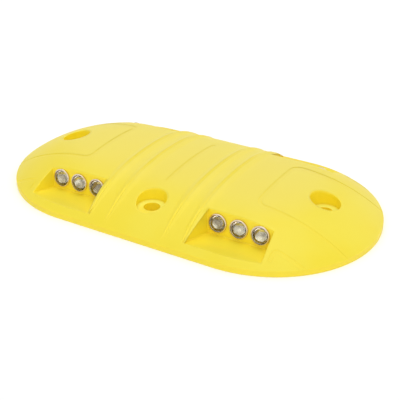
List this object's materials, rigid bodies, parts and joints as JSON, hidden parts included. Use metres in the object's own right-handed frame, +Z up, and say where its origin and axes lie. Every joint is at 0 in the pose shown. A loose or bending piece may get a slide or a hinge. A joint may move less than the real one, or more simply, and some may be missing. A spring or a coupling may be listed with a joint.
{
  "type": "road stud",
  "caption": "Low oval yellow plastic road stud with cross ribs, recessed rows of glass reflectors in metal collars along both sides, and counterbored anchor holes.",
  "frame": {"origin": "middle of the underside, on the road surface", "axes": "+X along the length, +Y across towards the rear row of reflectors, +Z up from the road"},
  "size_m": [0.4448, 0.25, 0.0447],
  "materials": {
    "yellow_plastic": "satin moulded plastic",
    "collar_metal": "drawn metal, slightly tarnished",
    "silvering": "silvered",
    "clear_glass": "polished"
  },
  "bodies": {
    "root": {"body": "yellow_plastic", "collar_front_left_1": "collar_metal", "collar_front_left_2": "collar_metal", "collar_front_left_3": "collar_metal", "collar_front_right_1": "collar_metal", "collar_front_right_2": "collar_metal", "collar_front_right_3": "collar_metal", "collar_rear_left_1": "collar_metal", "collar_rear_left_2": "collar_metal", "collar_rear_left_3": "collar_metal", "collar_rear_right_1": "collar_metal", "collar_rear_right_2": "collar_metal", "collar_rear_right_3": "collar_metal", "mirror_cup_front_left_1": "silvering", "mirror_cup_front_left_2": "silvering", "mirror_cup_front_left_3": "silvering", "mirror_cup_front_right_1": "silvering", "mirror_cup_front_right_2": "silvering", "mirror_cup_front_right_3": "silvering", "mirror_cup_rear_left_1": "silvering", "mirror_cup_rear_left_2": "silvering", "mirror_cup_rear_left_3": "silvering", "mirror_cup_rear_right_1": "silvering", "mirror_cup_rear_right_2": "silvering", "mirror_cup_rear_right_3": "silvering", "glass_lens_front_left_1": "clear_glass", "glass_lens_front_left_2": "clear_glass", "glass_lens_front_left_3": "clear_glass", "glass_lens_front_right_1": "clear_glass", "glass_lens_front_right_2": "clear_glass", "glass_lens_front_right_3": "clear_glass", "glass_lens_rear_left_1": "clear_glass", "glass_lens_rear_left_2": "clear_glass", "glass_lens_rear_left_3": "clear_glass", "glass_lens_rear_right_1": "clear_glass", "glass_lens_rear_right_2": "clear_glass", "glass_lens_rear_right_3": "clear_glass"}
  },
  "joints": []
}
